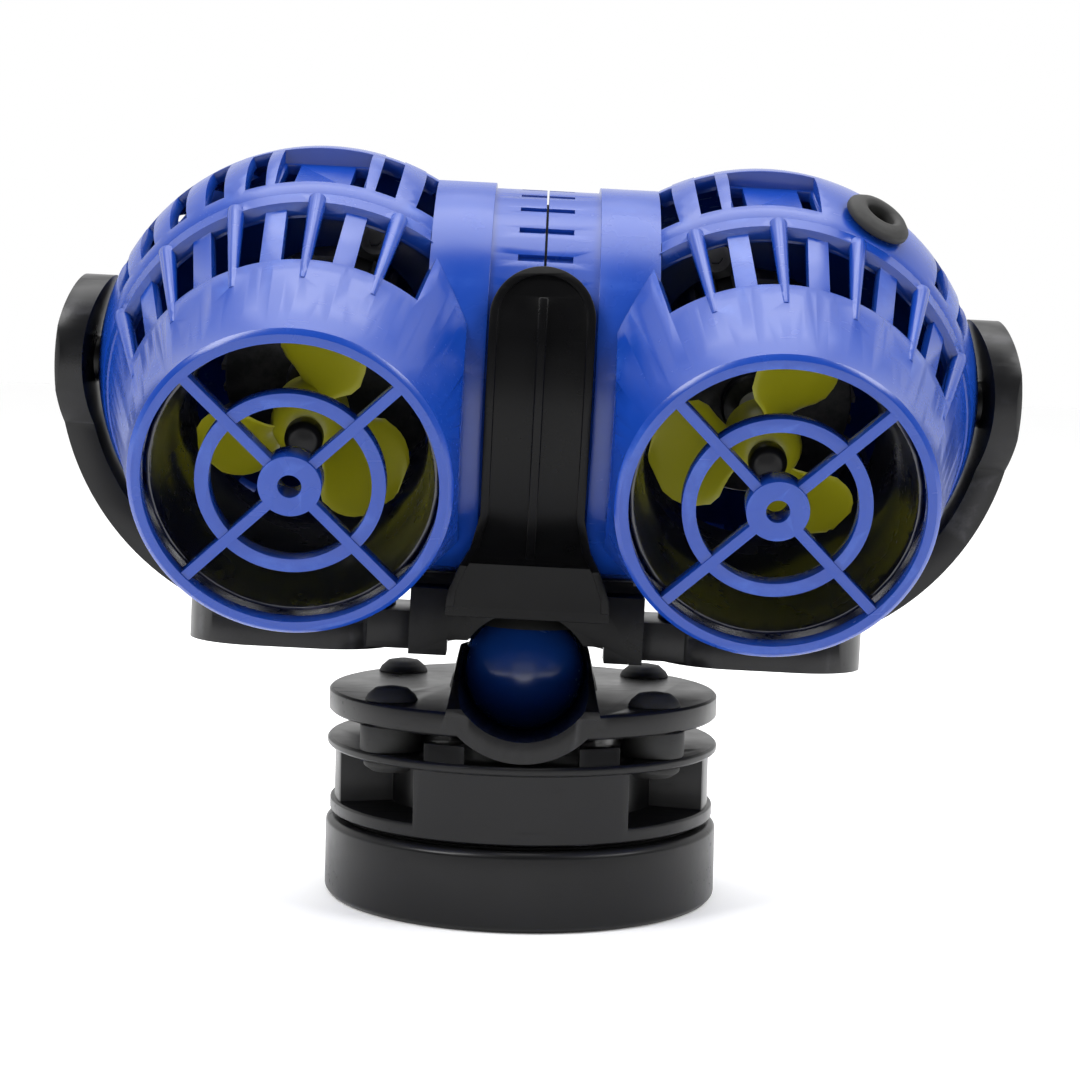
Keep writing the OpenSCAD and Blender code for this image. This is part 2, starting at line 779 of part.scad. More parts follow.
module front_cage() {
    difference() {
        union() {
            difference() {
                intersection() {
                    cage_face(0);
                    beyond_x(inner_flat - head_x);
                }
                intersection() {
                    cage_face(cage_wall);
                    beyond_x(inner_flat - head_x + cage_wall);
                    translate([-big / 2, -big / 2, 0]) cube([big, big, rim_d]);
                }
                translate([0, 0, rim_d - 1]) cylinder(r = rim_r - rim_wall, h = 10);
                window_cut(-rod_pitch * 1.6, rod_pitch * 3);
            }
            tube(cone_r + 0.3, lip_out + seat_gap, seam_d + seat_gap, cone_d);
            for (i = [-1 : 3]) rotate([0, 0, -i * rod_pitch]) rod();
            for (i = [-1 : 2]) rotate([0, 0, -(i + 0.5) * rod_pitch]) flat_bar();
        }
        translate([-head_x, 0, 0]) rotate([0, 90, 0]) {
            cylinder(r = barrel_r + seat_gap, h = join_x + seat_gap);
        }
        translate([-big + inner_flat - head_x, -big / 2, -big / 2]) cube([big, big, big]);
    }
    grille();
}

// Sector of the cage wall between two angles from the top, outwards positive.
module window_cut(a0, a1) {
    rotate([0, 0, 90 - a1]) rotate_extrude(angle = a1 - a0) {
        translate([20, cone_d - eps]) square([30, window_len]);
    }
}

// A round rod along the cage face, +Y up before the turn.
module rod() {
    rod_d = window_d + 6;
    rise = nozzle_r(cone_d) - nozzle_r(rod_d) + 0.3;
    rod_h = rod_d - cone_d + 1.4;
    translate([0, nozzle_r(cone_d) - 0.2, cone_d]) rotate([atan2(rise, rod_d - cone_d), 0, 0]) {
        translate([0, 0, -1.4]) cylinder(r1 = rod_r + 0.2, r2 = rod_r * 0.5, h = rod_h, $fn = 32);
    }
}

// A flat bar set behind the cage face.
module flat_bar() {
    slope = atan2(cone_r - rim_r, rim_d - cone_d);
    translate([-bar_w / 2, nozzle_r(cone_d) - cage_wall - 0.4, cone_d]) rotate([slope, 0, 0]) {
        translate([0, 0, -1.2]) cube([bar_w, 1.4, window_len + 3.4]);
    }
}

// Hub, inner ring and four spokes across the nozzle's mouth.
module grille() {
    difference() {
        union() {
            translate([0, 0, nozzle_len - 4.6]) cylinder(r = grille_hub_r, h = 4.8);
            tube(grille_ring_r, grille_ring_r - 2.2, nozzle_len - 3.6, nozzle_len - 0.8);
            for (a = [45 : 90 : 315]) rotate([0, 0, a]) {
                translate([grille_hub_r - 1, -0.85, nozzle_len - 3]) {
                    cube([rim_r - rim_wall - grille_hub_r + 1.6, 1.7, 2.6]);
                }
            }
        }
        translate([0, 0, nozzle_len - 6]) cylinder(r = 1.9, h = 8);
    }
}

module left_rear_cage() {
    color("#2c49b4") head_frame(-1) rear_cage(false);
}

module right_rear_cage() {
    color("#2c49b4") head_frame(1) rear_cage(true);
}

module left_front_cage() {
    color("#2c49b4") head_frame(-1) front_cage();
}

module right_front_cage() {
    color("#2c49b4") head_frame(1) front_cage();
}

// ---- Duct, motor and propeller, each in the head frame ----

module duct() {
    rotate_extrude() polygon([
        [duct_r, duct_back], [duct_foot_r, duct_back], [duct_foot_r, duct_front - 2],
        [duct_lip_r, duct_front + 1], [duct_lip_r, duct_end], [duct_lip_r - 0.6, duct_end],
        [duct_lip_r - 0.9, duct_end - 6], [duct_lip_r - 1.6, duct_front + 3],
        [duct_r + 0.2, duct_front - 0.5], [duct_r, duct_front - 3]
    ]);
    for (a = [90, 210, 330]) rotate([0, 0, a - 9]) rotate_extrude(angle = 18) {
        translate([duct_r + 0.2, plate_d + 2.9]) square([duct_wall - 0.4, duct_back - plate_d - 1.9]);
    }
}

module motor_can() {
    difference() {
        union() {
            disc(motor_r, motor_back, plate_d, 1.2);
            for (a = boss_turns) rotate([0, 0, a]) {
                translate([0, -boss_r, boss_d]) cube([boss_at, 2 * boss_r, 2.5]);
                translate([boss_at, 0, boss_d]) cylinder(r = boss_r, h = 2.5);
            }
        }
        translate([0, 0, rotor_back - 0.5]) cylinder(r = rotor_r + 0.6, h = big);
        translate([0, 0, rotor_back - 0.5 - bush_len]) cylinder(r = 2 * shaft_r + seat_gap, h = bush_len + 1);
        for (a = boss_turns) rotate([0, 0, a]) translate([boss_at, 0, boss_d - 1]) {
            cylinder(r = 1.5 + seat_gap, h = 5);
        }
    }
}

// Front plate of the motor: closes the can and carries the duct.
module motor_plate() {
    difference() {
        union() {
            disc(motor_r, plate_d, plate_d + 3, 0.3);
            for (a = [90, 210, 330]) rotate([0, 0, a]) translate([motor_r - 2, -3, plate_d + 0.4]) {
                cube([duct_foot_r - motor_r + 1.8, 6, 2.5]);
            }
            disc(2 * shaft_r + 3, plate_d + 2, motor_front + 2, 0.4);
        }
        translate([0, 0, plate_d + 2]) cylinder(r = 2 * shaft_r + seat_gap, h = 20);
        translate([0, 0, plate_d - 1]) cylinder(r = shaft_r + 0.6, h = 20);
    }
}

module motor_screws() {
    for (a = boss_turns) rotate([0, 0, a]) translate([boss_at, 0, 0]) {
        translate([0, 0, boss_d + 2.5]) disc(2.7, 0, 1.6, 0.3);
        translate([0, 0, boss_d - 6]) cylinder(r = 1.2, h = 9);
    }
}

module bush(d0) {
    tube(2 * shaft_r, shaft_r + run_gap, d0, d0 + bush_len);
}

module rotor() {
    tube(rotor_r, shaft_r, rotor_back, rotor_front - 2.5);
}

module shaft() {
    translate([0, 0, shaft_back]) cylinder(r = shaft_r, h = shaft_front - shaft_back);
}

// Three broad blades at a pitch, cut to the hub and the tip circle.
module propeller(turn) {
    difference() {
        union() {
            disc(prop_hub_r, prop_back, prop_front - 1, 1);
            for (i = [0 : 2]) rotate([0, 0, i * 120 + turn]) intersection() {
                translate([0, 0, (prop_back + prop_front) / 2]) rotate([32, 0, 0]) {
                    translate([prop_hub_r - 1.5, -big / 2, -0.8]) cube([big, big, 1.6]);
                }
                translate([0, 0, prop_back]) cylinder(r = prop_r, h = prop_front - prop_back - 1);
                translate([0, 0, prop_back]) blade_sector();
            }
        }
        translate([0, 0, prop_back - 1]) cylinder(r = shaft_r, h = 30);
    }
}

module blade_sector() {
    rotate([0, 0, -38]) rotate_extrude(angle = 76) square([prop_r + 1, prop_front - prop_back]);
}

module nose_cap() {
    difference() {
        disc(3.2, prop_front - 1, shaft_front + 2.4, 0.9);
        translate([0, 0, 0]) cylinder(r = shaft_r, h = shaft_front + eps);
    }
}

module left_duct() {
    color("#17181a") head_frame(-1) duct();
}

module right_duct() {
    color("#17181a") head_frame(1) duct();
}

module left_motor_can() {
    color("#131416") head_frame(-1) motor_can();
}

module right_motor_can() {
    color("#131416") head_frame(1) motor_can();
}

module left_motor_plate() {
    color("#1d1e20") head_frame(-1) motor_plate();
}

module right_motor_plate() {
    color("#1d1e20") head_frame(1) motor_plate();
}

module left_motor_screws() {
    color("#a9acb0") head_frame(-1) motor_screws();
}

module right_motor_screws() {
    color("#a9acb0") head_frame(1) motor_screws();
}

module left_rotor() {
    color("#5d5f63") head_frame(-1) rotor();
}

module right_rotor() {
    color("#5d5f63") head_frame(1) rotor();
}

module left_shaft() {
    color("#d8d8d4") head_frame(-1) shaft();
}

module right_shaft() {
    color("#d8d8d4") head_frame(1) shaft();
}

module left_propeller() {
    color("#a3a51e") head_frame(-1) propeller(100);
}

module right_propeller() {
    color("#a3a51e") head_frame(1) propeller(70);
}

module left_nose_cap() {
    color("#55575b") head_frame(-1) nose_cap();
}

module right_nose_cap() {
    color("#55575b") head_frame(1) nose_cap();
}

module left_rear_bush() {
    color("#c9c9c4") head_frame(-1) bush(rotor_back - 0.5 - bush_len);
}

module left_front_bush() {
    color("#c9c9c4") head_frame(-1) bush(plate_d + 2);
}

module right_rear_bush() {
    color("#c9c9c4") head_frame(1) bush(rotor_back - 0.5 - bush_len);
}

module right_front_bush() {
    color("#c9c9c4") head_frame(1) bush(plate_d + 2);
}

// Direction of the gland in the head frame of the right head.
module gland_axis() {
    rotate([0, 0, -26.4]) rotate([-76.8, 0, 0]) children();
}

// Rubber grommet through the right rear cage's wall.
module cable_gland() {
    color("#3b3936") head_frame(1) gland_axis() rotate_extrude() polygon([
        [gland_bore_r, dome_in - 2.4], [gland_r - 0.6, dome_in - 2.4], [gland_r - 0.6, dome_in - 0.6],
        [gland_r - 1.8, dome_in - 0.4], [gland_r - 1.8, dome_r + 0.3], [gland_r, dome_r + 0.3],
        [gland_r, dome_r + 1.4], [gland_r - 1.2, dome_r + 2.3], [gland_bore_r + 0.8, dome_r + 2.6],
        [gland_bore_r, dome_r + 2]
    ]);
}

dry_cup();
dry_magnet();
dry_lid();
dry_pad();
wet_base();
wet_magnet();
wet_cover();
wet_pad();
dampers();
top_plate();
pivot_ball();
ball_stud();
ball_liner();
centre_block();
left_arm();
right_arm();
arm_screws();
front_clip();
rear_clip();
coupling_sleeve();
left_pivot_pin();
right_pivot_pin();
left_barrel_half();
right_barrel_half();
left_rear_cage();
right_rear_cage();
left_front_cage();
right_front_cage();
left_duct();
right_duct();
left_motor_can();
right_motor_can();
left_motor_plate();
right_motor_plate();
left_motor_screws();
right_motor_screws();
left_rear_bush();
right_rear_bush();
left_front_bush();
right_front_bush();
left_rotor();
right_rotor();
left_shaft();
right_shaft();
left_propeller();
right_propeller();
left_nose_cap();
right_nose_cap();
cable_gland();
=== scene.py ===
import bpy, bmesh, json, math
from mathutils import Matrix, Vector


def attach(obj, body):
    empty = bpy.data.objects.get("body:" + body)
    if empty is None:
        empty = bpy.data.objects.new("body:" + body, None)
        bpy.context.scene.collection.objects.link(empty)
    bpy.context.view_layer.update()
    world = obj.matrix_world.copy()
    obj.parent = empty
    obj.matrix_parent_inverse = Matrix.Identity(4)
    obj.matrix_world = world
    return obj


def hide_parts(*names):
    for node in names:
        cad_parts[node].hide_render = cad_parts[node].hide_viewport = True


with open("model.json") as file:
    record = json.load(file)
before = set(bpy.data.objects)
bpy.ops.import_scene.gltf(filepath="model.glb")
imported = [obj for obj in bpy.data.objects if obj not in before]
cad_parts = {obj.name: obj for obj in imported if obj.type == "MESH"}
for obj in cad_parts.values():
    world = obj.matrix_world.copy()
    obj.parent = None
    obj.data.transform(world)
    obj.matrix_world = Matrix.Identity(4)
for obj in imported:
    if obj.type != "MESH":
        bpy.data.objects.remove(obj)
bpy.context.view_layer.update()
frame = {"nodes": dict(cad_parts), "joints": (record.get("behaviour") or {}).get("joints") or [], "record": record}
nodes = frame["nodes"]
bodyOf = {}
for bodyName, members in frame["record"]["behaviour"]["bodies"].items():
    for member in members:
        bodyOf[member] = bodyName
slotOf = {part["node"]: part["material_slot"] for part in frame["record"]["subparts"]}
joints = {joint["name"]: joint for joint in frame["joints"]}
mm = 0.001
print("frame loaded", len(nodes), "nodes")


# camera, floor and light
view = {"distance": 0.4196, "height": 0.0953, "yaw": 0.32, "pitch": 4.37, "roll": 1.375, "lens": 78.37}


def placeCamera(s):
    yaw, pitch, roll = (math.radians(s[k]) for k in ("yaw", "pitch", "roll"))
    ahead = Vector((math.sin(yaw) * math.cos(pitch), math.cos(yaw) * math.cos(pitch), -math.sin(pitch)))
    level = Vector((math.cos(yaw), -math.sin(yaw), 0))
    up = level.cross(ahead)
    right = math.cos(roll) * level + math.sin(roll) * up
    over = -math.sin(roll) * level + math.cos(roll) * up
    data = bpy.data.cameras.new("studioCamera")
    data.lens = s["lens"]
    data.sensor_width = 36
    data.clip_start = 0.02
    cam = bpy.data.objects.new("studioCamera", data)
    m = Matrix((right, over, -ahead)).transposed().to_4x4()
    m.translation = Vector((0, -s["distance"], s["height"]))
    cam.matrix_world = m
    bpy.context.collection.objects.link(cam)
    bpy.context.scene.camera = cam


def softbox(name, place, target, size, watts, tint=(1, 1, 1)):
    data = bpy.data.lights.new(name, "AREA")
    data.shape = "RECTANGLE"
    data.size, data.size_y = size
    data.energy = watts
    data.color = tint
    lamp = bpy.data.objects.new(name, data)
    lamp.location = place
    aim = Vector(target) - Vector(place)
    lamp.rotation_euler = aim.to_track_quat("-Z", "Y").to_euler()
    bpy.context.collection.objects.link(lamp)


studio = {"bright": 1.0, "dim": 0.16, "skylight": 1.15, "lift": 0.12, "floor": (0.97, 0.97, 0.97), "reach": 6.0}


def lightStudio(s):
    world = bpy.data.worlds.new("paleRoom")
    world.use_nodes = True
    tree = world.node_tree
    coords = tree.nodes.new("ShaderNodeTexCoord")
    split = tree.nodes.new("ShaderNodeSeparateXYZ")
    tree.links.new(coords.outputs["Generated"], split.inputs[0])
    ramp = tree.nodes.new("ShaderNodeMapRange")
    ramp.interpolation_type = "SMOOTHSTEP"
    tree.links.new(split.outputs["Y"], ramp.inputs["Value"])
    for label, v in (("From Min", -0.35), ("From Max", 0.55), ("To Min", s["dim"]), ("To Max", s["bright"])):
        ramp.inputs[label].default_value = v
    tree.links.new(ramp.outputs["Result"], tree.nodes["Background"].inputs["Strength"])
    tree.nodes["Background"].inputs["Color"].default_value = (1, 1, 1, 1)
    bpy.context.scene.world = world
    mesh = bpy.data.meshes.new("paleFloor")
    r = s["reach"]
    mesh.from_pydata([(-r, -r, 0), (r, -r, 0), (r, r, 0), (-r, r, 0)], [], [(0, 1, 2, 3)])
    floor = bpy.data.objects.new("paleFloor", mesh)
    bpy.context.collection.objects.link(floor)
    mat = bpy.data.materials.new("paleFloor")
    mat.use_nodes = True
    shader = mat.node_tree.nodes["Principled BSDF"]
    shader.inputs["Base Color"].default_value = (*s["floor"], 1)
    shader.inputs["Roughness"].default_value = 0.9
    shader.inputs["Emission Color"].default_value = (1, 1, 1, 1)
    shader.inputs["Emission Strength"].default_value = s["lift"]
    mesh.materials.append(mat)
    softbox("highLeft", (-0.55, -0.35, 0.75), (0, 0, 0.09), (0.34, 0.5), 7)
    softbox("highRight", (0.6, -0.25, 0.7), (0, 0, 0.09), (0.3, 0.5), 5.5)
    softbox("overhead", (0, 0.1, 0.9), (0, 0, 0.09), (0.8, 0.5), 4)
    softbox("lowFront", (0, -0.9, 0.2), (0, 0, 0.07), (0.7, 0.3), 0.3)
    sun = bpy.data.lights.new("skylight", "SUN")
    sun.energy = s["skylight"]
    sun.angle = math.radians(60)
    lamp = bpy.data.objects.new("skylight", sun)
    lamp.rotation_euler = (math.radians(-14), 0, 0)
    bpy.context.collection.objects.link(lamp)
    bpy.context.scene.view_settings.view_transform = "Standard"


placeCamera(view)
lightStudio(studio)
print("camera and studio ready")


# shared shading groups
def newGroup(name, ins, outs):
    tree = bpy.data.node_groups.new(name, "ShaderNodeTree")
    for label, kind, value in ins:
        sock = tree.interface.new_socket(label, in_out="INPUT", socket_type=kind)
        sock.default_value = value
    for label, kind in outs:
        tree.interface.new_socket(label, in_out="OUTPUT", socket_type=kind)
    return tree, tree.nodes.new("NodeGroupInput"), tree.nodes.new("NodeGroupOutput")


def mathNode(tree, op, a, b=None, clamp=False):
    n = tree.nodes.new("ShaderNodeMath")
    n.operation = op
    n.use_clamp = clamp
    for i, v in enumerate((a, b)):
        if v is None:
            continue
        if isinstance(v, (int, float)):
            n.inputs[i].default_value = v
        else:
            tree.links.new(v, n.inputs[i])
    return n.outputs[0]


def noiseNode(tree, where, scale, detail=3.0, rough=0.5):
    n = tree.nodes.new("ShaderNodeTexNoise")
    n.inputs["Detail"].default_value = detail
    n.inputs["Roughness"].default_value = rough
    tree.links.new(where, n.inputs["Vector"])
    if isinstance(scale, (int, float)):
        n.inputs["Scale"].default_value = scale
    else:
        tree.links.new(scale, n.inputs["Scale"])
    return n.outputs["Fac"]


def rangeNode(tree, value, low, high, outLow=0.0, outHigh=1.0):
    n = tree.nodes.new("ShaderNodeMapRange")
    n.clamp = True
    for label, v in (("From Min", low), ("From Max", high), ("To Min", outLow), ("To Max", outHigh)):
        if isinstance(v, (int, float)):
            n.inputs[label].default_value = v
        else:
            tree.links.new(v, n.inputs[label])
    tree.links.new(value, n.inputs["Value"])
    return n.outputs["Result"]


# fine grain, slow shrink waves in thick walls and scattered scuffs
def buildMouldedSkin():
    tree, gi, go = newGroup(
        "mouldedSkin",
        [("Where", "NodeSocketVector", (0, 0, 0)), ("Grain", "NodeSocketFloat", 900.0),
         ("Waves", "NodeSocketFloat", 45.0), ("Wave Depth", "NodeSocketFloat", 0.4),
         ("Scuffs", "NodeSocketFloat", 0.3)],
        [("Height", "NodeSocketFloat"), ("Tone", "NodeSocketFloat"), ("Scuff", "NodeSocketFloat")])
    where = gi.outputs["Where"]
    fine = noiseNode(tree, where, gi.outputs["Grain"], 2.0)
    slow = noiseNode(tree, where, gi.outputs["Waves"], 1.0)
    tone = noiseNode(tree, where, 60.0, 4.0, 0.6)
    stretch = tree.nodes.new("ShaderNodeMapping")
    stretch.inputs["Rotation"].default_value = (0.4, 0.7, 0.2)
    stretch.inputs["Scale"].default_value = (1, 14, 14)
    tree.links.new(where, stretch.inputs["Vector"])
    streak = noiseNode(tree, stretch.outputs["Vector"], 90.0, 2.0, 0.4)
    patch = noiseNode(tree, where, 70.0, 1.0)
    lines = mathNode(tree, "MULTIPLY", rangeNode(tree, streak, 0.63, 0.7), rangeNode(tree, patch, 0.52, 0.62))
    scuff = mathNode(tree, "MULTIPLY", lines, gi.outputs["Scuffs"], True)
    waves = mathNode(tree, "MULTIPLY", slow, gi.outputs["Wave Depth"])
    grain = mathNode(tree, "MULTIPLY", fine, 0.12)
    total = mathNode(tree, "ADD", mathNode(tree, "ADD", grain, waves), mathNode(tree, "MULTIPLY", scuff, -0.3))
    tree.links.new(total, go.inputs["Height"])
    tree.links.new(tone, go.inputs["Tone"])
    tree.links.new(scuff, go.inputs["Scuff"])
    return tree


# pale worn mask along convex edges, broken up by noise
def buildEdgeWear():
    tree, gi, go = newGroup(
        "edgeWear",
        [("Where", "NodeSocketVector", (0, 0, 0)), ("Start", "NodeSocketFloat", 0.53),
         ("End", "NodeSocketFloat", 0.62), ("Amount", "NodeSocketFloat", 0.5)],
        [("Mask", "NodeSocketFloat")])
    geo = tree.nodes.new("ShaderNodeNewGeometry")
    edge = rangeNode(tree, geo.outputs["Pointiness"], gi.outputs["Start"], gi.outputs["End"])
    broken = rangeNode(tree, noiseNode(tree, gi.outputs["Where"], 260.0, 4.0, 0.7), 0.4, 0.62, 0.25, 1.0)
    mask = mathNode(tree, "MULTIPLY", mathNode(tree, "MULTIPLY", edge, broken), gi.outputs["Amount"], True)
    tree.links.new(mask, go.inputs["Mask"])
    return tree


skinGroup = buildMouldedSkin()
wearGroup = buildEdgeWear()

finishes = {
    "blueMoulding": {"deep": (0.003, 0.030, 0.235), "light": (0.006, 0.046, 0.30), "worn": (0.05, 0.13, 0.5),
                     "rough": (0.19, 0.3), "coat": 0.05, "grain": 1500.0, "waves": 38.0, "waveDepth": 1.0,
                     "scuffs": 0.25, "wear": 0.25, "bump": 0.00006, "specular": 0.4},
    "deepBlueMoulding": {"deep": (0.003, 0.030, 0.17), "light": (0.006, 0.042, 0.22), "worn": (0.05, 0.12, 0.3),
                         "rough": (0.2, 0.28), "coat": 0.1, "grain": 1800.0, "waves": 60.0, "waveDepth": 0.3,
                         "scuffs": 0.3, "wear": 0.2, "bump": 0.00003, "specular": 0.5},
    "blackMoulding": {"deep": (0.003, 0.003, 0.0035), "light": (0.006, 0.006, 0.0065), "worn": (0.04, 0.04, 0.044),
                      "rough": (0.27, 0.42), "coat": 0.05, "grain": 1300.0, "waves": 55.0, "waveDepth": 0.9,
                      "scuffs": 0.6, "wear": 0.6, "bump": 0.00006, "specular": 0.22},
    # darker copy of blackMoulding that paints shade onto the centre block and clips
    "shadedBlackMoulding": {"deep": (0.0012, 0.0012, 0.0014), "light": (0.0025, 0.0025, 0.0028), "worn": (0.02, 0.02, 0.022),
                     "rough": (0.24, 0.36), "coat": 0.0, "grain": 1300.0, "waves": 55.0, "waveDepth": 0.9,
                     "scuffs": 0.4, "wear": 0.4, "bump": 0.00006, "specular": 0.12},
    "softRubber": {"deep": (0.012, 0.012, 0.012), "light": (0.026, 0.026, 0.025), "worn": (0.09, 0.09, 0.09),
                   "rough": (0.55, 0.75), "coat": 0.0, "grain": 700.0, "waves": 90.0, "waveDepth": 0.2,
                   "scuffs": 0.3, "wear": 0.3, "bump": 0.00008, "specular": 0.35},
    "navyMoulding": {"deep": (0.004, 0.005, 0.014), "light": (0.008, 0.009, 0.024), "worn": (0.10, 0.10, 0.15),
                     "rough": (0.22, 0.34), "coat": 0.3, "grain": 1400.0, "waves": 60.0, "waveDepth": 0.5,
                     "scuffs": 0.3, "wear": 0.4, "bump": 0.00004, "specular": 0.5},
    "greenMoulding": {"deep": (0.34, 0.33, 0.006), "light": (0.46, 0.44, 0.015), "worn": (0.6, 0.62, 0.2),
                      "rough": (0.32, 0.44), "coat": 0.1, "grain": 1500.0, "waves": 60.0, "waveDepth": 0.4,
                      "scuffs": 0.2, "wear": 0.3, "bump": 0.00004, "specular": 0.5},
    "paleCeramic": {"deep": (0.60, 0.60, 0.57), "light": (0.72, 0.72, 0.69), "worn": (0.8, 0.8, 0.78),
                    "rough": (0.12, 0.2), "coat": 0.0, "grain": 2200.0, "waves": 80.0, "waveDepth": 0.1,
                    "scuffs": 0.1, "wear": 0.1, "bump": 0.00002, "specular": 0.5},
    "turnedSteel": {"deep": (0.40, 0.41, 0.43), "light": (0.55, 0.56, 0.58), "worn": (0.8, 0.8, 0.82),
                    "rough": (0.22, 0.36), "coat": 0.0, "grain": 1600.0, "waves": 60.0, "waveDepth": 0.1,
                    "scuffs": 0.5, "wear": 0.4, "bump": 0.00003, "specular": 0.5, "metal": 1.0},
    "blackenedSteel": {"deep": (0.05, 0.05, 0.055), "light": (0.09, 0.09, 0.1), "worn": (0.3, 0.3, 0.32),
                       "rough": (0.28, 0.4), "coat": 0.0, "grain": 1600.0, "waves": 60.0, "waveDepth": 0.1,
                       "scuffs": 0.5, "wear": 0.5, "bump": 0.00003, "specular": 0.5, "metal": 1.0},
    "platedMagnet": {"deep": (0.30, 0.31, 0.33), "light": (0.42, 0.43, 0.45), "worn": (0.6, 0.6, 0.62),
                     "rough": (0.3, 0.45), "coat": 0.0, "grain": 900.0, "waves": 60.0, "waveDepth": 0.2,
                     "scuffs": 0.4, "wear": 0.4, "bump": 0.00005, "specular": 0.5, "metal": 1.0},
}
slotFinish = {"blue_moulding": "blueMoulding", "deep_blue_moulding": "deepBlueMoulding",
              "black_moulding": "blackMoulding", "soft_rubber": "softRubber", "navy_moulding": "navyMoulding",
              "green_moulding": "greenMoulding", "ceramic": "paleCeramic", "steel": "turnedSteel",
              "sintered_magnet": "platedMagnet", "dark_steel": "blackenedSteel"}
nodeFinish = {node: "shadedBlackMoulding" for node in ("centre_block", "front_clip", "rear_clip")}  # painted shade: these black parts take a darker copy of the black moulding


def finishFor(node):
    return finish[nodeFinish.get(node, slotFinish[slotOf[node]])]




def buildFinish(name, s):
    mat = bpy.data.materials.new(name)
    mat.use_nodes = True
    tree = mat.node_tree
    shader = tree.nodes["Principled BSDF"]
    coords = tree.nodes.new("ShaderNodeTexCoord")
    skin = tree.nodes.new("ShaderNodeGroup")
    skin.node_tree = skinGroup
    wear = tree.nodes.new("ShaderNodeGroup")
    wear.node_tree = wearGroup
    for group in (skin, wear):
        tree.links.new(coords.outputs["Object"], group.inputs["Where"])
    skin.inputs["Grain"].default_value = s["grain"]
    skin.inputs["Waves"].default_value = s["waves"]
    skin.inputs["Wave Depth"].default_value = s["waveDepth"]
    skin.inputs["Scuffs"].default_value = s["scuffs"]
    wear.inputs["Amount"].default_value = s["wear"]
    colour = tree.nodes.new("ShaderNodeMix")
    colour.data_type = "RGBA"
    colour.inputs[6].default_value = (*s["deep"], 1)
    colour.inputs[7].default_value = (*s["light"], 1)
    tree.links.new(skin.outputs["Tone"], colour.inputs[0])
    worn = tree.nodes.new("ShaderNodeMix")
    worn.data_type = "RGBA"
    tree.links.new(wear.outputs["Mask"], worn.inputs[0])
    tree.links.new(colour.outputs[2], worn.inputs[6])
    worn.inputs[7].default_value = (*s["worn"], 1)
    tree.links.new(worn.outputs[2], shader.inputs["Base Color"])
    rough = rangeNode(tree, skin.outputs["Tone"], 0.3, 0.7, s["rough"][0], s["rough"][1])
    scuffed = mathNode(tree, "ADD", rough, mathNode(tree, "MULTIPLY", skin.outputs["Scuff"], 0.25), True)
    tree.links.new(scuffed, shader.inputs["Roughness"])
    bump = tree.nodes.new("ShaderNodeBump")
    bump.inputs["Strength"].default_value = 0.6
    bump.inputs["Distance"].default_value = s["bump"]
    tree.links.new(skin.outputs["Height"], bump.inputs["Height"])
    tree.links.new(bump.outputs["Normal"], shader.inputs["Normal"])
    shader.inputs["Coat Weight"].default_value = s["coat"]
    shader.inputs["Coat Roughness"].default_value = 0.12
    shader.inputs["Specular IOR Level"].default_value = s["specular"]
    shader.inputs["Metallic"].default_value = s.get("metal", 0.0)
    return mat


finish = {name: buildFinish(name, s) for name, s in finishes.items()}
print("finishes ready", len(finish))


# pieces
def addPiece(name, mesh, node, body=None, stands=True):
    obj = bpy.data.objects.new(name, mesh)
    bpy.context.collection.objects.link(obj)
    mesh.materials.clear()
    mesh.materials.append(finishFor(node))
    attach(obj, body or bodyOf[node])
    if stands:
        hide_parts(node)
    return obj


def cleanMesh(bm, flat=0.5):
    bmesh.ops.remove_doubles(bm, verts=bm.verts, dist=2e-6)
    bmesh.ops.dissolve_degenerate(bm, edges=bm.edges, dist=1e-6)
    bmesh.ops.dissolve_limit(bm, angle_limit=math.radians(flat), verts=bm.verts, edges=bm.edges)


# A moulded copy of a CAD node: merged, with its sharp edges rounded off.
def softenNode(node, width, segments=2, sharp=32.0):
    mesh = nodes[node].data.copy()
    bm = bmesh.new()
    bm.from_mesh(mesh)
    cleanMesh(bm)
    bm.to_mesh(mesh)
    bm.free()
    obj = bpy.data.objects.new(node + "_soft", mesh)
    bpy.context.collection.objects.link(obj)
    bevel = obj.modifiers.new("roundOver", "BEVEL")
    bevel.width = width * mm
    bevel.segments = segments
    bevel.limit_method = "ANGLE"
    bevel.angle_limit = math.radians(sharp)
    bevel.use_clamp_overlap = True
    bevel.miter_outer = "MITER_ARC"
    bpy.context.view_layer.update()
    done = bpy.data.meshes.new_from_object(obj.evaluated_get(bpy.context.evaluated_depsgraph_get()))
    bpy.data.objects.remove(obj)
    smoothShade(done, 38)
    return addPiece(node + "_moulded", done, node)


def smoothShade(mesh, angle):
    mesh.shade_smooth()
    mesh.set_sharp_from_angle(angle=math.radians(angle))


rounding = {
    "dry_cup": 0.35, "dry_pad": 0.15, "wet_base": 0.3, "wet_pad": 0.15, "dampers": 0.25, "top_plate": 0.35,
    "centre_block": 0.4, "left_arm": 0.6, "right_arm": 0.6, "front_clip": 0.35, "rear_clip": 0.35,
    "left_pivot_pin": 0.25, "right_pivot_pin": 0.25, "left_barrel_half": 0.25, "right_barrel_half": 0.25,
    "left_rear_cage": 0.3, "right_rear_cage": 0.3, "left_front_cage": 0.3, "right_front_cage": 0.3,
    "left_duct": 0.25, "right_duct": 0.25, "left_motor_can": 0.5, "right_motor_can": 0.5,
    "left_motor_plate": 0.3, "right_motor_plate": 0.3, "left_nose_cap": 0.3, "right_nose_cap": 0.3,
    "cable_gland": 0.3,
}
for node, width in rounding.items():
    softenNode(node, width)
print("moulded pieces softened", len(rounding))


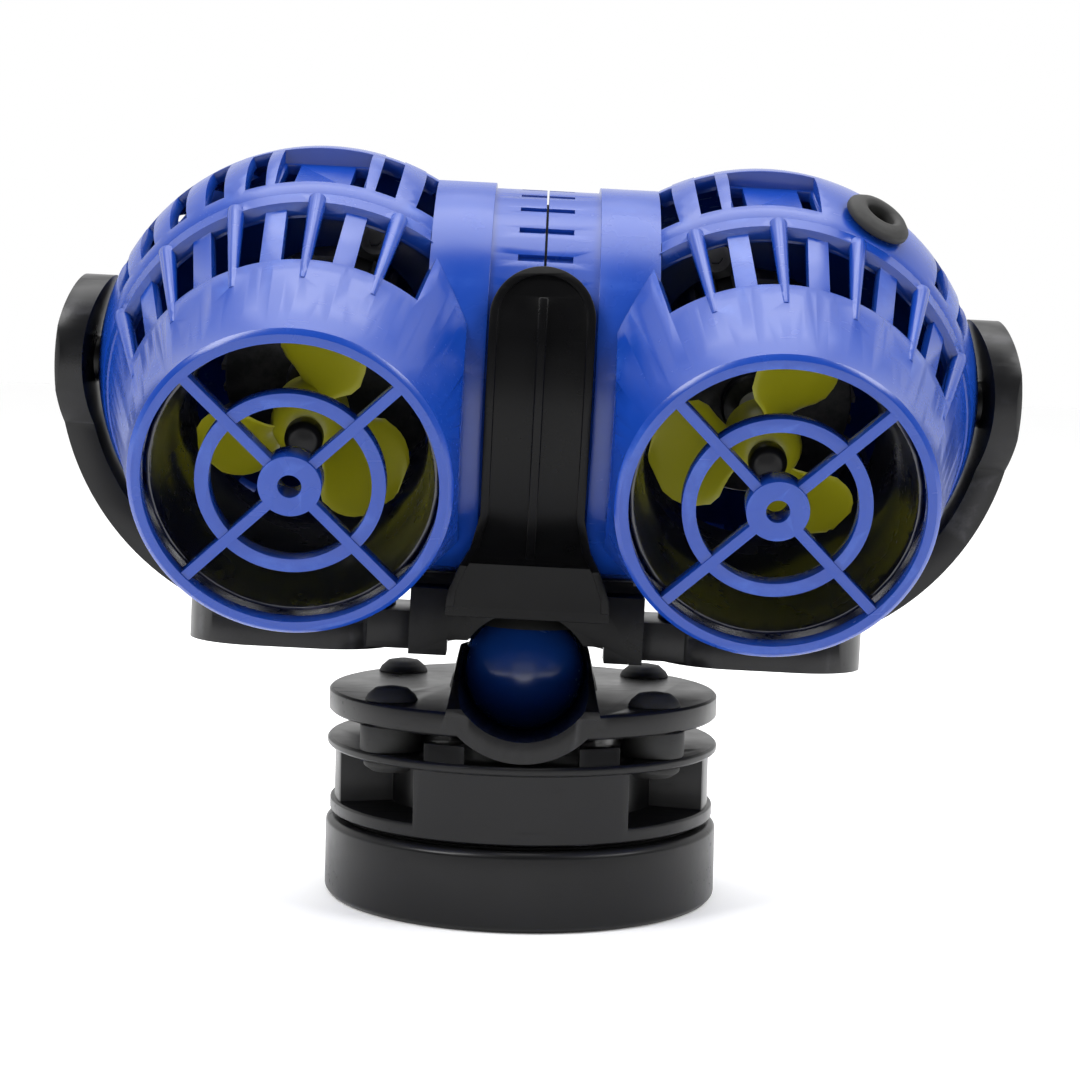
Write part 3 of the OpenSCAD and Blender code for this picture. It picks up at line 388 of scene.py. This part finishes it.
# head frames: +Z along the nozzle, +Y up, +X away from the barrel
def headMatrix(side):
    spin = joints[side + "_rotor_spin"]
    along = Vector(spin["axis"]).normalized()
    out = Vector(joints["right_head_pitch"]["axis"]).normalized() * (1 if side == "right" else -1)
    up = along.cross(out) * (1 if side == "right" else -1)
    m = Matrix((out, up, along)).transposed().to_4x4()
    m.translation = Vector(spin["pos_m"])
    return m


blades = {"count": 3, "turn": {"left": 100.0, "right": 70.0}, "hub": 6.3, "tip": 19.5, "half": 36.0, "lead": 9.0, "middle": 26.5,
          "thick": 1.5, "rows": 14, "columns": 20, "hubBack": 20.0, "hubFront": 32.0}


def bladeOutline(t, s):
    ease = math.sin(math.pi * min(1.0, 0.30 + 0.70 * t) ** 1.1) if t > 0.55 else 1.0
    return math.radians(s["half"]) * (0.62 + 0.38 * min(1.0, t / 0.35)) * max(0.0, ease) ** 0.45


def propellerMesh(name, m, s, turn):
    bm = bmesh.new()
    for k in range(s["count"]):
        base = math.radians(turn + k * 360 / s["count"])
        faces = {}
        for face in (1, -1):
            for i in range(s["rows"] + 1):
                t = i / s["rows"]
                r = s["hub"] - 1.0 + (s["tip"] - s["hub"] + 1.0) * t
                half = max(bladeOutline(t, s), 0.03)
                for j in range(s["columns"] + 1):
                    u = 2 * j / s["columns"] - 1
                    a = u * half
                    cup = 0.6 * (1 - u * u) * t
                    fat = s["thick"] / 2 * (1 - 0.45 * t) * math.sqrt(max(0.0, 1 - u ** 4)) + 0.02
                    edge = 1.0 if i < s["rows"] else 0.02
                    z = s["middle"] + s["lead"] * a - cup + face * fat * edge
                    p = Vector((r * math.cos(base + a), r * math.sin(base + a), z)) * mm
                    faces[face, i, j] = bm.verts.new(m @ p)
            for i in range(s["rows"]):
                for j in range(s["columns"]):
                    ring = [faces[face, i, j], faces[face, i, j + 1], faces[face, i + 1, j + 1], faces[face, i + 1, j]]
                    bm.faces.new(ring if face > 0 else ring[::-1])
        rim = [(i, 0) for i in range(s["rows"] + 1)] + [(s["rows"], j) for j in range(1, s["columns"] + 1)]
        rim += [(i, s["columns"]) for i in range(s["rows"] - 1, -1, -1)]
        rim += [(0, j) for j in range(s["columns"] - 1, 0, -1)]
        for a, b in zip(rim, rim[1:] + rim[:1]):
            bm.faces.new([faces[1, a[0], a[1]], faces[1, b[0], b[1]], faces[-1, b[0], b[1]], faces[-1, a[0], a[1]]])
    profile = [(1.5, s["hubBack"]), (s["hub"] - 0.5, s["hubBack"]), (s["hub"], s["hubBack"] + 0.6),
               (s["hub"], s["hubFront"] - 4.5), (s["hub"] - 0.7, s["hubFront"] - 2.2),
               (s["hub"] - 2.1, s["hubFront"] - 0.6), (s["hub"] - 3.4, s["hubFront"]), (1.5, s["hubFront"])]
    lathe(bm, profile, m, 48)
    bmesh.ops.remove_doubles(bm, verts=bm.verts, dist=1e-6)
    bmesh.ops.recalc_face_normals(bm, faces=bm.faces)
    mesh = bpy.data.meshes.new(name)
    bm.to_mesh(mesh)
    bm.free()
    smoothShade(mesh, 40)
    return mesh


def lathe(bm, profile, m, steps):
    rings = []
    for k in range(steps):
        a = 2 * math.pi * k / steps
        rings.append([bm.verts.new(m @ (Vector((r * math.cos(a), r * math.sin(a), z)) * mm)) for r, z in profile])
    n = len(profile)
    for k in range(steps):
        one, two = rings[k], rings[(k + 1) % steps]
        for i in range(n):
            bm.faces.new([one[i], two[i], two[(i + 1) % n], one[(i + 1) % n]])


for side in ("left", "right"):
    node = side + "_propeller"
    addPiece(side + "_swept_propeller", propellerMesh(node, headMatrix(side), blades, blades["turn"][side]), node)
print("propellers made")


# repeated pieces, each from one node tree
def linkMath(tree, op, a, b):
    n = tree.nodes.new("ShaderNodeMath")
    n.operation = op
    for i, v in enumerate((a, b)):
        if isinstance(v, (int, float)):
            n.inputs[i].default_value = v
        elif v is not None:
            tree.links.new(v, n.inputs[i])
    return n.outputs[0]


def startTree(name, inputs):
    tree = bpy.data.node_groups.new(name, "GeometryNodeTree")
    tree.interface.new_socket("Geometry", in_out="INPUT", socket_type="NodeSocketGeometry")
    for label, kind in inputs:
        tree.interface.new_socket(label, in_out="INPUT", socket_type=kind)
    tree.interface.new_socket("Geometry", in_out="OUTPUT", socket_type="NodeSocketGeometry")
    return tree, tree.nodes.new("NodeGroupInput"), tree.nodes.new("NodeGroupOutput")


def endTree(tree, gi, go, shape):
    real = tree.nodes.new("GeometryNodeRealizeInstances")
    paint = tree.nodes.new("GeometryNodeSetMaterial")
    tree.links.new(shape, real.inputs[0])
    tree.links.new(real.outputs[0], paint.inputs["Geometry"])
    tree.links.new(gi.outputs["Material"], paint.inputs["Material"])
    tree.links.new(paint.outputs["Geometry"], go.inputs["Geometry"])


# cooling ribs stood round a can
def buildRibTree():
    tree, gi, go = startTree("ribsRoundCan", [
        ("Count", "NodeSocketInt"), ("Radius", "NodeSocketFloat"), ("Height", "NodeSocketFloat"),
        ("Width", "NodeSocketFloat"), ("Length", "NodeSocketFloat"), ("Material", "NodeSocketMaterial")])
    points = tree.nodes.new("GeometryNodePoints")
    tree.links.new(gi.outputs["Count"], points.inputs["Count"])
    index = tree.nodes.new("GeometryNodeInputIndex")
    turn = linkMath(tree, "DIVIDE", linkMath(tree, "MULTIPLY", index.outputs[0], 2 * math.pi), gi.outputs["Count"])
    place = tree.nodes.new("ShaderNodeCombineXYZ")
    tree.links.new(linkMath(tree, "MULTIPLY", linkMath(tree, "COSINE", turn, None), gi.outputs["Radius"]), place.inputs[0])
    tree.links.new(linkMath(tree, "MULTIPLY", linkMath(tree, "SINE", turn, None), gi.outputs["Radius"]), place.inputs[1])
    tree.links.new(place.outputs[0], points.inputs["Position"])
    rib = tree.nodes.new("GeometryNodeMeshCube")
    size = tree.nodes.new("ShaderNodeCombineXYZ")
    for i, label in enumerate(("Height", "Width", "Length")):
        tree.links.new(gi.outputs[label], size.inputs[i])
    tree.links.new(size.outputs[0], rib.inputs["Size"])
    spin = tree.nodes.new("ShaderNodeCombineXYZ")
    tree.links.new(turn, spin.inputs[2])
    onto = tree.nodes.new("GeometryNodeInstanceOnPoints")
    tree.links.new(points.outputs[0], onto.inputs["Points"])
    tree.links.new(rib.outputs["Mesh"], onto.inputs["Instance"])
    tree.links.new(spin.outputs[0], onto.inputs["Rotation"])
    endTree(tree, gi, go, onto.outputs[0])
    return tree


# a socket-head screw on every point handed in, head upwards
def buildScrewTree():
    tree, gi, go = startTree("socketScrews", [
        ("Head Radius", "NodeSocketFloat"), ("Head Height", "NodeSocketFloat"), ("Shank Radius", "NodeSocketFloat"),
        ("Shank Length", "NodeSocketFloat"), ("Socket Radius", "NodeSocketFloat"), ("Material", "NodeSocketMaterial")])

    def rod(radius, depth, sides, rise):
        n = tree.nodes.new("GeometryNodeMeshCylinder")
        n.inputs["Vertices"].default_value = sides
        tree.links.new(radius, n.inputs["Radius"])
        tree.links.new(depth, n.inputs["Depth"])
        lift = tree.nodes.new("ShaderNodeCombineXYZ")
        tree.links.new(rise, lift.inputs[2])
        move = tree.nodes.new("GeometryNodeTransform")
        tree.links.new(n.outputs["Mesh"], move.inputs["Geometry"])
        tree.links.new(lift.outputs[0], move.inputs["Translation"])
        return move.outputs[0]

    headRise = linkMath(tree, "MULTIPLY", gi.outputs["Head Height"], -0.5)
    shankRise = linkMath(tree, "SUBTRACT", linkMath(tree, "MULTIPLY", gi.outputs["Shank Length"], -0.5),
                         linkMath(tree, "MULTIPLY", gi.outputs["Head Height"], 0.98))
    head = rod(gi.outputs["Head Radius"], gi.outputs["Head Height"], 32, headRise)
    shank = rod(gi.outputs["Shank Radius"], gi.outputs["Shank Length"], 20, shankRise)
    socket = rod(gi.outputs["Socket Radius"], gi.outputs["Head Height"], 6, linkMath(tree, "MULTIPLY", headRise, 0.0))
    cut = tree.nodes.new("GeometryNodeMeshBoolean")
    cut.operation = "DIFFERENCE"
    tree.links.new(head, cut.inputs["Mesh 1"])
    tree.links.new(socket, cut.inputs["Mesh 2"])
    join = tree.nodes.new("GeometryNodeJoinGeometry")
    tree.links.new(shank, join.inputs[0])
    tree.links.new(cut.outputs["Mesh"], join.inputs[0])
    onto = tree.nodes.new("GeometryNodeInstanceOnPoints")
    tree.links.new(gi.outputs["Geometry"], onto.inputs["Points"])
    tree.links.new(join.outputs[0], onto.inputs["Instance"])
    endTree(tree, gi, go, onto.outputs[0])
    return tree


def growMesh(name, tree, values, points=()):
    seed = bpy.data.meshes.new(name)
    seed.from_pydata([tuple(p) for p in points], [], [])
    obj = bpy.data.objects.new(name, seed)
    bpy.context.collection.objects.link(obj)
    mod = obj.modifiers.new("grow", "NODES")
    mod.node_group = tree
    ids = {item.name: item.identifier for item in tree.interface.items_tree if item.in_out == "INPUT"}
    for label, value in values.items():
        mod[ids[label]] = value
    bpy.context.view_layer.update()
    mesh = bpy.data.meshes.new_from_object(obj.evaluated_get(bpy.context.evaluated_depsgraph_get()))
    bpy.data.objects.remove(obj)
    return mesh


# boxes of the separate solids of a node, seen in a frame
def solidBoxes(node, frameMatrix):
    bm = bmesh.new()
    bm.from_mesh(nodes[node].data)
    bmesh.ops.remove_doubles(bm, verts=bm.verts, dist=2e-6)
    back = frameMatrix.inverted()
    left, boxes = set(bm.verts), []
    while left:
        stack, seen = [left.pop()], []
        while stack:
            v = stack.pop()
            seen.append(back @ v.co)
            for e in v.link_edges:
                other = e.other_vert(v)
                if other in left:
                    left.discard(other)
                    stack.append(other)
        boxes.append([Vector(f(p[i] for p in seen) for i in range(3)) for f in (min, max)])
    bm.free()
    return sorted(boxes, key=lambda b: (round(b[0].x, 5), round(b[0].y, 5)))


def makeScrews(node, frameMatrix, s):
    boxes = solidBoxes(node, frameMatrix)
    tops = [Vector(((lo.x + hi.x) / 2, (lo.y + hi.y) / 2, hi.z)) for lo, hi in boxes]
    lo, hi = boxes[0]
    headRadius = (hi.x - lo.x) / 2
    head = s["head"] * mm
    mesh = growMesh(node + "_socket_heads", screwTree, {
        "Head Radius": headRadius, "Head Height": head, "Shank Radius": s["shank"] * mm,
        "Shank Length": hi.z - lo.z - head, "Socket Radius": headRadius * s["socket"],
        "Material": finishFor(node)}, tops)
    mesh.transform(frameMatrix)
    if frameMatrix.determinant() < 0:
        mesh.flip_normals()
    smoothShade(mesh, 35)
    addPiece(node + "_socket_heads", mesh, node)


ribTree = buildRibTree()
screwTree = buildScrewTree()
ribs = {"count": 28, "radius": 17.1, "height": 2.2, "width": 1.1, "length": 15.0, "middle": -6.5}
for side in ("left", "right"):
    m = headMatrix(side)
    node = side + "_motor_can"
    mesh = growMesh(side + "_motor_ribs", ribTree, {
        "Count": ribs["count"], "Radius": ribs["radius"] * mm, "Height": ribs["height"] * mm,
        "Width": ribs["width"] * mm, "Length": ribs["length"] * mm, "Material": finishFor(node)})
    mesh.transform(m @ Matrix.Translation((0, 0, ribs["middle"] * mm)))
    if m.determinant() < 0:
        mesh.flip_normals()
    addPiece(side + "_motor_ribs", mesh, node, stands=False)
    makeScrews(side + "_motor_screws", m, {"head": 1.6, "shank": 1.2, "socket": 0.5})
print("motor ribs and screws grown")
leanAxis = Vector(joints["right_head_pitch"]["axis"]).normalized()
across = Vector((0, 1, 0))
yokeDown = Matrix((leanAxis, -across, -leanAxis.cross(across))).transposed().to_4x4()
makeScrews("arm_screws", yokeDown, {"head": 1.0, "shank": 1.5, "socket": 0.5})

# every CAD node that stays takes its finish
for name, obj in nodes.items():
    if not obj.hide_render:
        obj.data.materials.clear()
        obj.data.materials.append(finishFor(name))
        smoothShade(obj.data, 30)
